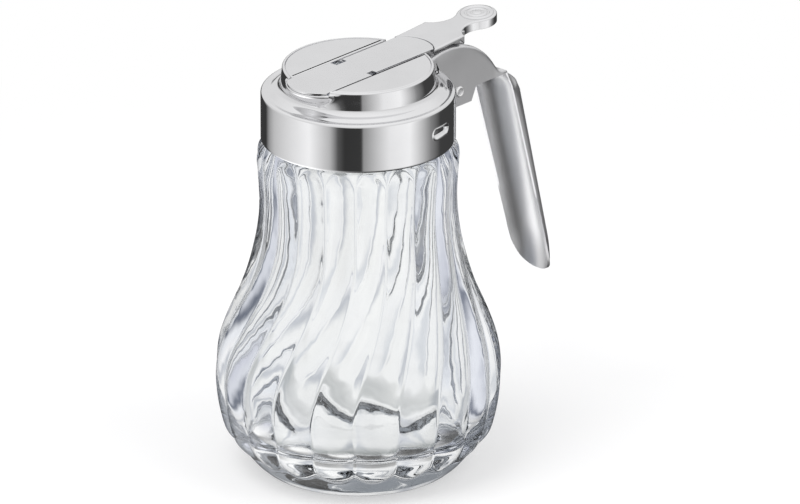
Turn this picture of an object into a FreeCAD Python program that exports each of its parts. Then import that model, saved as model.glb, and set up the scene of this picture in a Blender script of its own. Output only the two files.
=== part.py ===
"""Cream dispenser: a ribbed glass jar with a steel cap, a sliding pour gate, a thumb lever and a handle.

Millimetres, +Z up. The origin is the centre of the jar's flat base. +X points towards the handle,
so the pour spout is on the -X side.
"""
import FreeCAD, Part
import math
import os

import Sketcher
from FreeCAD import Placement, Rotation, Vector

doc = FreeCAD.newDocument("cream_dispenser")

# ---------------------------------------------------------------------------------------------
# Driving dimensions
# ---------------------------------------------------------------------------------------------

DIMENSIONS = [
    ("margin", 2.0, "how far a cutting or trimming tool reaches past the metal"),
    # glass jar
    ("lobe_count", 20, "swirled lobes round the jar"),
    ("lobe_phase", 5.0, "angle of one valley from +X, in the neck and again at the foot"),
    ("lobe_twist", 18.0, "turn of the lobes between neck and foot"),
    ("twist_top", 76.0, "level where the swirl starts"),
    ("twist_bottom", 27.0, "level where the swirl ends"),
    ("base_flat_radius", 27.0, "flat that the jar stands on"),
    ("base_ring_radius", 34.6, "smooth ring below the lobes, at its top"),
    ("base_ring_height", 6.6, "height of that ring"),
    ("base_ring_bend", 15.7, "rounding from the flat up to that ring"),
    ("base_core_radius", 36.4, "solid core of the foot, inside the lobes"),
    ("base_core_level", 10.0, "top of that core"),
    ("jar_floor", 9.0, "thickness of the jar's bottom"),
    ("jar_floor_radius", 20.0, "flat part of the inside floor"),
    ("jar_wall", 4.2, "glass thickness below a lobe's crest"),
    ("jar_low_wall", 7.7, "the same in the foot, where the glass is thicker"),
    ("jar_low_wall_top", 20.0, "level where that thicker glass ends"),
    ("jar_inside_start", 14.0, "level from which the inside follows the outside"),
    ("jar_inside_end", 101.6, "level where it turns into the straight bore"),
    ("neck_radius", 26.6, "glass finish inside the cap"),
    ("neck_bore", 23.2, "mouth of the jar, radius"),
    ("neck_start", 98.0, "level where the straight glass finish begins inside the lobes"),
    ("jar_top", 118.0, "rim of the glass"),
    ("bead_radius", 27.7, "lug bead round the glass finish"),
    ("bead_bottom", 114.8, "underside of that bead"),
    # cap
    ("sheet", 0.8, "thickness of the sheet steel"),
    ("band_radius", 29.0, "outside of the cap's band"),
    ("band_bottom", 104.1, "lower edge of the band"),
    ("ledge_outer_level", 119.2, "ledge at the band"),
    ("ledge_inner_level", 120.2, "ledge at the pedestal's foot"),
    ("ledge_rim", 0.9, "rounding between band and ledge"),
    ("foot_radius", 24.2, "outer end of the fillet at the pedestal's foot"),
    ("pedestal_radius", 23.2, "pedestal wall just above its foot"),
    ("disc_radius", 22.4, "top disc"),
    ("disc_level", 126.9, "top of the disc"),
    ("disc_rim", 0.5, "rounding of the disc's edge"),
    ("lug_angle", -79.0, "plan angle of one pressed lug in the band"),
    ("lug_level", 111.9, "height of the lugs"),
    ("lug_width", 4.2, "half length of a lug along the band"),
    ("lug_height", 1.6, "half height of a lug"),
    ("lug_depth", 1.2, "half depth of the oval tool that presses a lug"),
    ("lug_stand_off", 0.5, "centre of that tool outside the band's surface"),
    # pour gate and spout
    ("gate_half_width", 7.9, "half width of the sliding gate"),
    ("gate_thickness", 0.8, "thickness of the gate"),
    ("gate_front", -26.5, "front end of the gate when shut"),
    ("gate_back", 28.3, "back end of the gate when shut"),
    ("gate_end_radius", 9.8, "rounding of both ends in plan"),
    ("gate_play", 0.05, "clearance under the gate"),
    ("channel_half_width", 8.1, "half width of the channel in the disc"),
    ("channel_depth", 0.9, "depth of that channel"),
    ("spout_centre", -16.2, "centre of the rounded spout"),
    ("spout_radius", 10.4, "plan radius of the spout"),
    ("spout_depth", 4.8, "height of the spout"),
    ("pour_hole_back", -16.6, "rear edge of the pour hole"),
    ("notch_length", 2.6, "lanced notches in the gate"),
    ("notch_depth", 2.2, "how far the notches reach in"),
    ("notch_place", -1.4, "middle of the notches along the gate"),
    # thumb lever
    ("pivot_along", 37.0, "rivet from the jar's axis"),
    ("pivot_level", 109.3, "height of the rivet"),
    ("lever_play", 0.3, "gap between gate and lever"),
    ("lever_half_width", 8.0, "half width of the lever"),
    ("lever_plate", 1.0, "thickness of the lever's top"),
    ("lever_rim_depth", 2.9, "depth of the rim round neck and pad"),
    ("lever_waist_start", 38.0, "where the lever's straight sides end"),
    ("waist_radius", 7.1, "concave sides of the lever's neck"),
    ("waist_along", 44.6, "centre of those concave sides, along the lever"),
    ("waist_aside", 10.7, "centre of those concave sides, from the middle"),
    ("pad_along", 52.3, "centre of the thumb pad"),
    ("pad_radius", 6.0, "radius of the thumb pad"),
    ("pad_rise", 1.5, "how much higher the pad lies than the gate"),
    ("medallion_radius", 5.1, "raised disc on the pad"),
    ("medallion_height", 0.4, "height of that disc"),
    ("skirt_offset", 4.6, "inner face of the lever's two skirts, from the middle"),
    ("skirt_front", 31.3, "front end of a skirt, under the lever's top"),
    ("skirt_back", 41.0, "rear end of a skirt, under the lever's top"),
    ("hub_radius", 2.6, "skirt round the rivet"),
    ("rivet_radius", 1.2, "rivet shank"),
    ("rivet_bore", 0.9, "hole through the rivet"),
    ("rivet_head_radius", 1.7, "rolled head of the rivet"),
    ("rivet_head_height", 0.4, "height of that head"),
    ("pivot_play", 0.05, "running clearance round the rivet"),
    # handle
    ("bracket_half_width", 7.0, "outside of the bracket's cheeks"),
    ("bracket_arc", 25.0, "radius of the bracket's back"),
    ("bracket_arc_along", 32.0, "crest of the bracket"),
    ("bracket_crest", 124.7, "height of that crest"),
    ("bracket_start", 20.6, "front end of the bracket, inside the pedestal's line"),
    ("cheek_bottom", 104.8, "lower edge of the cheeks"),
    ("cheek_corner", 42.3, "lower corner of the cheeks"),
    ("cheek_step", 44.4, "where the cheeks' free edge turns"),
    ("cheek_edge", 109.2, "free edge of the cheeks beyond that"),
    ("cheek_inside", 26.0, "how far in the cheeks are drawn before the cap trims them"),
    ("slot_start", 29.0, "front of the slot for the lever's skirts"),
    ("slot_end", 49.0, "rear of that slot"),
    ("slot_half_width", 5.8, "half width of that slot"),
    ("shoulder_level", 110.9, "top of the shoulder over the grip"),
    ("shoulder_radius", 4.5, "rounding of the shoulder"),
    ("shoulder_reach", 4.0, "how far the bracket runs on into the grip's shoulder"),
    ("grip_radius", 8.1, "outside radius of the gutter-shaped grip"),
    ("grip_lip", 0.2, "free edges of the grip from its axis, outwards"),
    ("grip_tilt", 14.55, "lean of the grip"),
    ("grip_top_along", 56.5, "axis of the grip at the shoulder's level"),
    ("grip_length", 77.0, "length of the grip from the shoulder's level"),
    ("grip_tongue", 10.5, "length of the rounded end"),
    ("grip_tongue_half_width", 7.9, "half width of that end where it starts"),
    ("grip_tongue_radius", 9.0, "rounding of that end"),
    ("grip_run_out", 8.0, "how far the grip's form runs past both ends before it is trimmed"),
    ("grip_form_depth", 40.0, "depth of that form, inwards from the shoulder's corner"),
]

# Outline of the jar through the lobes' crests: level, radius, depth of the valleys.
JAR_PROFILE = [
    (6.0, 34.2, 0.3),
    (7.4, 36.3, 0.9),
    (9.2, 37.9, 1.1),
    (12.0, 39.6, 1.25),
    (18.0, 41.4, 1.35),
    (24.0, 42.5, 1.4),
    (31.0, 42.8, 1.4),
    (38.0, 41.9, 1.4),
    (45.0, 39.8, 1.35),
    (52.0, 37.0, 1.3),
    (59.0, 34.3, 1.2),
    (66.0, 32.2, 1.1),
    (74.0, 30.5, 1.0),
    (84.0, 29.7, 0.95),
    (94.0, 30.1, 0.95),
    (99.5, 30.6, 0.9),
    (102.2, 29.8, 0.7),
    (103.5, 28.4, 0.5),
    (104.1, 26.9, 0.2),
]

sheet = doc.addObject("Spreadsheet::Sheet", "Dims")


def fill_sheet():
    """Writes every driving dimension into the sheet, one row each, with its alias."""
    rows = list(DIMENSIONS)
    for number, (level, radius, valley) in enumerate(JAR_PROFILE):
        rows.append((f"jar_level_{number}", level, "jar outline, height"))
        rows.append((f"jar_crest_{number}", radius, "jar outline, radius over a lobe"))
        rows.append((f"jar_valley_{number}", valley, "jar outline, depth of a valley"))
    for row, (alias, number, note) in enumerate(rows, start=1):
        sheet.set(f"A{row}", note)
        sheet.set(f"B{row}", str(number))
        sheet.setAlias(f"B{row}", alias)
    doc.recompute()


fill_sheet()

ALIASES = {alias for alias, _, _ in DIMENSIONS}


def bound(expression):
    """The expression with every dimension's name tied to the sheet."""
    words = []
    word = ""
    for letter in expression + " ":
        if letter.isalnum() or letter == "_":
            word += letter
        else:
            words.append(f"Dims.{word}" if word in ALIASES else word)
            words.append(letter)
            word = ""
    return "".join(words).strip()


def size(expression):
    """The value of an expression of dimensions, as a number."""
    return float(doc.Dims.evalExpression(bound(expression)))


# ---------------------------------------------------------------------------------------------
# Sketches and features
# ---------------------------------------------------------------------------------------------

UPRIGHT = Rotation(Vector(1, 0, 0), 90)     # lays a sketch into the XZ plane, seen from -Y
FLAT = Rotation()


class Bend:
    """An arc that ends at a corner: its radius, and the side its centre lies on (1 left, -1 right)."""

    def __init__(self, radius, side):
        self.radius = radius
        self.side = side


def arc_between(start, end, radius, side):
    """The shorter arc of that radius from start to end. A sketch keeps arcs counter-clockwise, so an
    arc with its centre on the right is stored from its end to its start."""
    chord = end - start
    reach = math.sqrt(max(radius ** 2 - (chord.Length / 2) ** 2, 0.0))
    across = Vector(-chord.y, chord.x, 0).normalize()
    centre = (start + end) / 2 + across * (side * reach)
    first, last = (start, end) if side > 0 else (end, start)
    first_angle = math.atan2(first.y - centre.y, first.x - centre.x)
    last_angle = math.atan2(last.y - centre.y, last.x - centre.x)
    if last_angle <= first_angle:
        last_angle += 2 * math.pi
    return Part.ArcOfCircle(Part.Circle(centre, Vector(0, 0, 1), radius), first_angle, last_angle)


def draw(sketch, corners):
    """Draws a closed outline in a sketch and ties each corner, and each arc's radius, to the sheet.

    A corner is (x, y), or (x, y, Bend) when the stretch that ends there is an arc.
    """
    places = [Vector(size(corner[0]), size(corner[1]), 0) for corner in corners]
    bends = [corner[2] if len(corner) == 3 else None for corner in corners]
    edges = []
    for number, bend in enumerate(bends):
        start = places[number - 1]
        end = places[number]
        if bend:
            edges.append(arc_between(start, end, size(bend.radius), bend.side))
        else:
            edges.append(Part.LineSegment(start, end))
    sketch.addGeometry(edges, False)
    backwards = [bend is not None and bend.side < 0 for bend in bends]
    for number, corner in enumerate(corners):
        following = (number + 1) % len(corners)
        finish = 1 if backwards[number] else 2
        begin = 2 if backwards[following] else 1
        sketch.addConstraint(Sketcher.Constraint("Coincident", number, finish, following, begin))
        tie(sketch, "DistanceX", number, finish, corner[0])
        tie(sketch, "DistanceY", number, finish, corner[1])
        if bends[number]:
            radius = bends[number].radius
            index = sketch.addConstraint(Sketcher.Constraint("Radius", number, size(radius)))
            sketch.setExpression(f"Constraints[{index}]", bound(radius))
    return sketch


def tie(sketch, kind, edge, point, expression):
    """Holds one coordinate of a sketch point at an expression of the sheet."""
    index = sketch.addConstraint(Sketcher.Constraint(kind, -1, 1, edge, point, size(expression)))
    sketch.setExpression(f"Constraints[{index}]", bound(expression))


def free_sketch(name, turn, corners):
    """A closed sketch in the XY plane (FLAT) or the XZ plane (UPRIGHT)."""
    sketch = doc.addObject("Sketcher::SketchObject", name)
    sketch.Placement = Placement(Vector(), turn)
    return draw(sketch, corners)


def extruded(name, sketch, direction, start, end):
    """A solid from a sketch, from start to end along a direction; both are expressions."""
    solid = doc.addObject("Part::Extrusion", name)
    solid.Base = sketch
    solid.DirMode = "Custom"
    solid.Dir = direction
    solid.Solid = True
    solid.setExpression("LengthFwd", bound(end))
    solid.setExpression("LengthRev", bound(f"-({start})"))
    return solid


def revolved(name, sketch):
    """A solid turned from a sketch round the jar's axis."""
    solid = doc.addObject("Part::Revolution", name)
    solid.Source = sketch
    solid.Axis = Vector(0, 0, 1)
    solid.Base = Vector(0, 0, 0)
    solid.Angle = 360
    solid.Solid = True
    return solid


def primitive(kind, name, place, **sizes):
    """A Part primitive whose sizes and place are expressions of the sheet."""
    solid = doc.addObject(kind, name)
    for key, expression in sizes.items():
        solid.setExpression(key, bound(expression))
    for axis, expression in zip("xyz", place):
        solid.setExpression(f"Placement.Base.{axis}", bound(expression))
    return solid


def joined(name, *pieces):
    solid = doc.addObject("Part::MultiFuse", name)
    solid.Shapes = list(pieces)
    solid.Refine = True
    return solid


def shared(name, *pieces):
    solid = doc.addObject("Part::MultiCommon", name)
    solid.Shapes = list(pieces)
    return solid


def cut(name, base, tool):
    solid = doc.addObject("Part::Cut", name)
    solid.Base = base
    solid.Tool = tool
    return solid


def mirrored(name, source):
    """The same piece on the other side of the XZ plane."""
    solid = doc.addObject("Part::Mirroring", name)
    solid.Source = source
    solid.Normal = Vector(0, 1, 0)
    solid.Base = Vector(0, 0, 0)
    return solid


# A sketch laid upright has its front on the -Y side, so it is extruded along +Y from there.
ALONG_Y = Vector(0, 1, 0)
ALONG_Z = Vector(0, 0, 1)

# ---------------------------------------------------------------------------------------------
# Glass jar
# ---------------------------------------------------------------------------------------------


def swirl(level):
    """How far the lobes have turned at a level, in degrees: none in the neck, all of it at the foot."""
    top = size("twist_top")
    bottom = size("twist_bottom")
    way = min(max((top - level) / (top - bottom), 0.0), 1.0)
    return -size("lobe_twist") * way * way * (3 - 2 * way)


def lobed_section(number):
    """A level section of the jar: one arc over each lobe, from valley to valley."""
    level = getattr(sheet, f"jar_level_{number}")
    crest = getattr(sheet, f"jar_crest_{number}")
    valley = crest - getattr(sheet, f"jar_valley_{number}")
    count = int(size("lobe_count"))
    step = 2 * math.pi / count
    first = math.radians(size("lobe_phase") + swirl(level))

    def at(radius, angle):
        return Vector(radius * math.cos(angle), radius * math.sin(angle), level)

    arcs = []
    for lobe in range(count):
        start = first + lobe * step
        arc = Part.Arc(at(valley, start), at(crest, start + step / 2), at(valley, start + step))
        arcs.append(arc.toShape())
    return Part.Wire(arcs)


def jar_inside():
    """The smooth cavity of the jar, from its flat floor up through the mouth."""
    floor = size("jar_floor")
    curve_points = [Vector(size("jar_floor_radius"), 0, floor)]
    for number, (level, _, _) in enumerate(JAR_PROFILE):
        if size("jar_inside_start") < level < size("jar_inside_end"):
            wall = size("jar_low_wall" if level < size("jar_low_wall_top") else "jar_wall")
            curve_points.append(Vector(getattr(sheet, f"jar_crest_{number}") - wall, 0, level))
    curve_points.append(Vector(size("neck_bore"), 0, size("band_bottom + margin")))
    curve = Part.BSplineCurve()
    curve.interpolate(curve_points, InitialTangent=Vector(1, 0, 0.05), FinalTangent=Vector(0, 0, 1))
    above = size("jar_top + margin")
    foot = Vector(0, 0, floor)
    mouth = Vector(size("neck_bore"), 0, above)
    top = Vector(0, 0, above)
    wire = Part.Wire([
        Part.makeLine(foot, curve_points[0]),
        curve.toShape(),
        Part.makeLine(curve_points[-1], mouth),
        Part.makeLine(mouth, top),
        Part.makeLine(top, foot),
    ])
    return Part.Face(wire).revolve(Vector(), Vector(0, 0, 1), 360)


def make_jar():
    lobes = doc.addObject("Part::Feature", "jar_lobes")
    lobes.Shape = Part.makeLoft([lobed_section(n) for n in range(len(JAR_PROFILE))], True, False)

    foot = free_sketch("jar_foot_outline", UPRIGHT, [
        ("0", "0"),
        ("base_flat_radius", "0"),
        ("base_ring_radius", "base_ring_height", Bend("base_ring_bend", 1)),
        ("base_core_radius", "base_core_level"),
        ("0", "base_core_level"),
    ])
    neck = free_sketch("jar_neck_outline", UPRIGHT, [
        ("0", "neck_start"),
        ("neck_radius", "neck_start"),
        ("neck_radius", "bead_bottom"),
        ("bead_radius", "bead_bottom + 1"),
        ("bead_radius", "jar_top - 1"),
        ("bead_radius - 1", "jar_top"),
        ("0", "jar_top"),
    ])
    outside = joined("jar_outside", lobes, revolved("jar_foot", foot), revolved("jar_neck", neck))
    inside = doc.addObject("Part::Feature", "jar_inside")
    inside.Shape = jar_inside()
    return cut("glass_jar", outside, inside)


# ---------------------------------------------------------------------------------------------
# Cap, with its channel, spout and lugs
# ---------------------------------------------------------------------------------------------


def make_cap_outside():
    """The cap's outer form as one solid, which also trims the handle."""
    outline = free_sketch("cap_outline", UPRIGHT, [
        ("0", "band_bottom"),
        ("band_radius", "band_bottom"),
        ("band_radius", "ledge_outer_level - ledge_rim"),
        ("band_radius - ledge_rim", "ledge_outer_level", Bend("ledge_rim", 1)),
        ("foot_radius", "ledge_inner_level"),
        ("pedestal_radius", "ledge_inner_level + 1", Bend("1", -1)),
        ("disc_radius", "disc_level - disc_rim"),
        ("disc_radius - disc_rim", "disc_level", Bend("disc_rim", 1)),
        ("0", "disc_level"),
    ])
    return revolved("cap_outside", outline)


def make_cap_inside():
    """The hollow under the sheet: the band's bore, then the pedestal's."""
    outline = free_sketch("cap_hollow_outline", UPRIGHT, [
        ("0", "band_bottom - margin"),
        ("band_radius - sheet", "band_bottom - margin"),
        ("band_radius - sheet", "ledge_outer_level - sheet"),
        ("foot_radius - sheet", "ledge_inner_level - sheet"),
        ("pedestal_radius - sheet", "ledge_inner_level + 1 - sheet"),
        ("disc_radius - sheet", "disc_level - sheet"),
        ("0", "disc_level - sheet"),
    ])
    return revolved("cap_hollow", outline)


def oval_lug(name, grow, angle):
    """An oval at the band's surface, larger all round by an amount."""
    lug = doc.addObject("Part::Ellipsoid", name)
    lug.setExpression("Radius1", bound(f"lug_height + {grow}"))
    lug.setExpression("Radius2", bound(f"lug_depth + {grow}"))
    lug.setExpression("Radius3", bound(f"lug_width + {grow}"))
    reach = size("band_radius + lug_stand_off")
    turn = size(angle)
    radians = math.radians(turn)
    place = Vector(reach * math.cos(radians), reach * math.sin(radians), size("lug_level"))
    lug.Placement = Placement(place, Rotation(Vector(0, 0, 1), turn))
    return lug


def make_cap(outside):
    channel_floor = "disc_level - channel_depth"
    spout_place = ("spout_centre", "0", channel_floor)
    spout = primitive("Part::Ellipsoid", "spout_outside", spout_place,
                      Radius1="spout_depth", Radius2="spout_radius", Radius3="spout_radius")
    spout_hollow = primitive("Part::Ellipsoid", "spout_hollow", spout_place,
                             Radius1="spout_depth - sheet", Radius2="spout_radius - sheet",
                             Radius3="spout_radius - sheet")
    strip = primitive("Part::Box", "channel_strip",
                      ("pour_hole_back", "-channel_half_width - sheet", f"{channel_floor} - sheet"),
                      Length="disc_radius - pour_hole_back", Width="2 * channel_half_width + 2 * sheet",
                      Height="channel_depth")
    channel = primitive("Part::Box", "channel",
                        ("-band_radius", "-channel_half_width", channel_floor),
                        Length="2 * band_radius", Width="2 * channel_half_width",
                        Height="channel_depth + margin")
    lug_backs = []
    lugs = []
    for number, angle in enumerate(["lug_angle", "lug_angle + 180"]):
        lug_backs.append(oval_lug(f"lug_back_{number}", "sheet", angle))
        lugs.append(oval_lug(f"lug_{number}", "0", angle))

    below_gate = primitive("Part::Box", "below_gate",
                           ("-band_radius - margin", "-band_radius", f"{channel_floor} - 2 * spout_depth"),
                           Length="band_radius + margin", Width="2 * band_radius", Height="2 * spout_depth")
    pressed = joined("cap_with_spout", cut("cap_channelled", outside, channel),
                     shared("spout_trimmed", spout, below_gate))
    hollow = joined("cap_spaces", make_cap_inside(), shared("spout_space", spout_hollow, below_gate))
    shell = cut("cap_shell", pressed, hollow)
    floor = cut("channel_floor", shared("channel_strip_trimmed", strip, outside), channel)
    backs = shared("lug_backs", joined("lug_back_pair", *lug_backs), outside)
    return cut("cap", joined("cap_pressed", shell, floor, backs), joined("lug_tools", *lugs))


# ---------------------------------------------------------------------------------------------
# Sliding gate
# ---------------------------------------------------------------------------------------------


def origin_plane(body, role):
    return next(plane for plane in body.Origin.OriginFeatures if plane.Role == role)


def body_sketch(body, name, role, level, corners):
    """A sketch on one of a body's own planes, raised to a level."""
    sketch = body.newObject("Sketcher::SketchObject", name)
    sketch.AttachmentSupport = [(origin_plane(body, role), "")]
    sketch.MapMode = "FlatFace"
    sketch.setExpression("AttachmentOffset.Base.z", bound(level))
    return draw(sketch, corners)


def make_gate():
    inset = "(gate_end_radius - sqrt(gate_end_radius ^ 2 - gate_half_width ^ 2))"
    gate = doc.addObject("PartDesign::Body", "pour_gate")
    level = "disc_level - channel_depth + gate_play"
    outline = body_sketch(gate, "gate_outline", "XY_Plane", level, [
        (f"gate_back - {inset}", "-gate_half_width"),
        ("gate_back", "0", Bend("gate_end_radius", 1)),
        (f"gate_back - {inset}", "gate_half_width", Bend("gate_end_radius", 1)),
        (f"gate_front + {inset}", "gate_half_width"),
        ("gate_front", "0", Bend("gate_end_radius", 1)),
        (f"gate_front + {inset}", "-gate_half_width", Bend("gate_end_radius", 1)),
    ])
    plate = gate.newObject("PartDesign::Pad", "gate_plate")
    plate.Profile = outline
    plate.setExpression("Length", bound("gate_thickness"))
    doc.recompute()
    for side, name in ((-1, "near"), (1, "far")):
        edge = f"{side} * gate_half_width"
        reach = f"{side} * (gate_half_width - notch_depth)"
        notch = body_sketch(gate, f"notch_outline_{name}", "XY_Plane", level, [
            ("notch_place - notch_length / 2", edge),
            ("notch_place + notch_length / 2", edge),
            ("notch_place + notch_length / 4", reach),
            ("notch_place - notch_length / 4", reach),
        ])
        pocket = gate.newObject("PartDesign::Pocket", f"notch_{name}")
        pocket.Profile = notch
        pocket.Reversed = True
        pocket.setExpression("Length", bound("gate_thickness"))
        doc.recompute()
    return gate


# ---------------------------------------------------------------------------------------------
# Thumb lever and rivet
# ---------------------------------------------------------------------------------------------


def lever_outline(name, inset):
    """The lever in plan, or the same outline drawn smaller by an inset."""
    half = f"(lever_half_width - {inset})"
    waist = f"(waist_radius + {inset})"
    pad = f"(pad_radius - {inset})"
    front = f"(gate_end_radius + lever_play + {inset})"
    front_centre = "(gate_back - gate_end_radius)"
    front_corner = f"{front_centre} + sqrt({front} ^ 2 - {half} ^ 2)"
    corner = f"waist_along - sqrt({waist} ^ 2 - (waist_aside - {half}) ^ 2)"
    reach = "sqrt((pad_along - waist_along) ^ 2 + waist_aside ^ 2)"
    blend_x = f"pad_along - (pad_along - waist_along) * {pad} / {reach}"
    blend_y = f"waist_aside * {pad} / {reach}"
    return free_sketch(name, FLAT, [
        (corner, f"-{half}"),
        (blend_x, f"-({blend_y})", Bend(waist, -1)),
        (f"pad_along + {pad}", "0", Bend(pad, 1)),
        (blend_x, blend_y, Bend(pad, 1)),
        (corner, half, Bend(waist, -1)),
        (front_corner, half),
        (f"{front_centre} + {front}", "0", Bend(front, -1)),
        (front_corner, f"-{half}", Bend(front, -1)),
    ])


LEVER_SLOPE = "(pad_rise / (pad_along - gate_back))"


def sloped_layer(name, start, end, depth):
    """A layer below the lever's sloping top, between two places along it."""
    top = "(disc_level + {0} * ({1} - gate_back))"
    top_start = top.format(LEVER_SLOPE, start)
    top_end = top.format(LEVER_SLOPE, end)
    outline = free_sketch(f"{name}_outline", UPRIGHT, [
        (start, f"{top_start} - {depth}"),
        (end, f"{top_end} - {depth}"),
        (end, top_end),
        (start, top_start),
    ])
    return extruded(name, outline, ALONG_Y, "-lever_half_width - margin", "lever_half_width + margin")


def make_lever():
    plan = lever_outline("lever_plan", "0")
    plan_inner = lever_outline("lever_plan_inner", "sheet")
    tall = ("pivot_level", "disc_level + 2 * pad_rise")
    footprint = extruded("lever_footprint", plan, ALONG_Z, *tall)
    footprint_inner = extruded("lever_footprint_inner", plan_inner, ALONG_Z, *tall)
    front = "(gate_back - gate_end_radius)"
    back = "(pad_along + pad_radius + margin)"
    plate = shared("lever_plate_piece", footprint, sloped_layer("lever_top", front, back, "lever_plate"))
    rim_band = sloped_layer("lever_rim_layer", "lever_waist_start - sheet", back, "lever_rim_depth")
    rim = cut("lever_rim", shared("lever_rim_block", footprint, rim_band), footprint_inner)

    tilt = math.degrees(math.atan(size(LEVER_SLOPE)))
    medallion = doc.addObject("Part::Cylinder", "lever_medallion")
    medallion.setExpression("Radius", bound("medallion_radius"))
    medallion.setExpression("Height", bound("medallion_height + lever_plate / 2"))
    seat = Vector(size("pad_along"), 0, size("disc_level + pad_rise - lever_plate / 2"))
    medallion.Placement = Placement(seat, Rotation(Vector(0, 1, 0), -tilt))

    middle = "disc_level - lever_plate / 2 + {0} * ({1} - gate_back)"
    skirt_outline = free_sketch("skirt_outline", UPRIGHT, [
        ("pivot_along - hub_radius", "pivot_level"),
        ("pivot_along", "pivot_level - hub_radius", Bend("hub_radius", 1)),
        ("pivot_along + hub_radius", "pivot_level", Bend("hub_radius", 1)),
        ("skirt_back", middle.format(LEVER_SLOPE, "skirt_back")),
        ("skirt_front", middle.format(LEVER_SLOPE, "skirt_front")),
    ])
    skirt = extruded("skirt_far", skirt_outline, -ALONG_Y, "-(skirt_offset + sheet)", "-skirt_offset")
    body = joined("lever_body", plate, rim, medallion, skirt, mirrored("skirt_near", skirt))
    bore = across_cylinder("lever_bore", "rivet_radius + pivot_play", "bracket_half_width + margin")
    return cut("thumb_lever", body, bore)


def across_cylinder(name, radius, half_length):
    """A cylinder on the rivet's axis, which runs across the handle."""
    cylinder = doc.addObject("Part::Cylinder", name)
    cylinder.setExpression("Radius", bound(radius))
    cylinder.setExpression("Height", bound(f"2 * ({half_length})"))
    place = Vector(size("pivot_along"), size(half_length), size("pivot_level"))
    cylinder.Placement = Placement(place, Rotation(Vector(1, 0, 0), 90))
    return cylinder


def make_rivet():
    half = "bracket_half_width"
    shank = across_cylinder("rivet_shank", "rivet_radius", half)
    heads_block = across_cylinder("rivet_heads_block", "rivet_head_radius", f"{half} + rivet_head_height")
    between = across_cylinder("rivet_between_heads", "rivet_head_radius + margin", half)
    heads = cut("rivet_heads", heads_block, between)
    bore = across_cylinder("rivet_bore_tool", "rivet_bore", f"{half} + margin")
    return cut("rivet", joined("rivet_solid", shank, heads), bore)


# ---------------------------------------------------------------------------------------------
# Handle: a bracket of two cheeks and a back, and a gutter-shaped grip, in one piece of sheet
# ---------------------------------------------------------------------------------------------


def on_back(along, shrink):
    """The height of the bracket's curved back, or of the same arc drawn smaller, at a place along X."""
    return (f"bracket_crest - bracket_arc + sqrt((bracket_arc - {shrink}) ^ 2"
            f" - ({along} - bracket_arc_along) ^ 2)")


def along_back(level, shrink):
    """The place along X where the bracket's back comes down to a level."""
    return (f"bracket_arc_along + sqrt((bracket_arc - {shrink}) ^ 2"
            f" - ({level} - bracket_crest + bracket_arc) ^ 2)")


def make_bracket():
    valley = along_back("shoulder_level", "0")
    under = along_back("(shoulder_level - sheet)", "sheet")
    strip_end = "grip_top_along + shoulder_reach"
    back_outline = free_sketch("back_outline", UPRIGHT, [
        ("bracket_start", on_back("bracket_start", "sheet")),
        (under, "shoulder_level - sheet", Bend("bracket_arc - sheet", -1)),
        (strip_end, "shoulder_level - sheet"),
        (strip_end, "shoulder_level"),
        (valley, "shoulder_level"),
        ("bracket_start", on_back("bracket_start", "0"), Bend("bracket_arc", 1)),
    ])
    back = extruded("bracket_back", back_outline, ALONG_Y, "-bracket_half_width", "bracket_half_width")
    slot = primitive("Part::Box", "bracket_slot",
                     ("slot_start", "-slot_half_width", "shoulder_level"),
                     Length="slot_end - slot_start", Width="2 * slot_half_width",
                     Height="bracket_crest + margin - shoulder_level")
    cheek_outline = free_sketch("cheek_outline", UPRIGHT, [
        ("cheek_inside", "cheek_bottom"),
        ("cheek_corner", "cheek_bottom"),
        ("cheek_step", "cheek_edge"),
        (strip_end, "cheek_edge"),
        (strip_end, "shoulder_level - sheet / 2"),
        (along_back("(shoulder_level - sheet / 2)", "sheet / 2"), "shoulder_level - sheet / 2"),
        ("bracket_start", on_back("bracket_start", "sheet / 2"), Bend("bracket_arc - sheet / 2", 1)),
        ("bracket_start", "ledge_outer_level"),
        ("cheek_inside", "ledge_outer_level"),
    ])
    cheek = extruded("cheek_far", cheek_outline, ALONG_Y, "bracket_half_width - sheet", "bracket_half_width")
    holes = across_cylinder("cheek_holes", "rivet_radius", "bracket_half_width + margin")
    body = joined("bracket_body", cut("back_slotted", back, slot), cheek, mirrored("cheek_near", cheek))
    return cut("bracket_drilled", body, holes)


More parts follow.
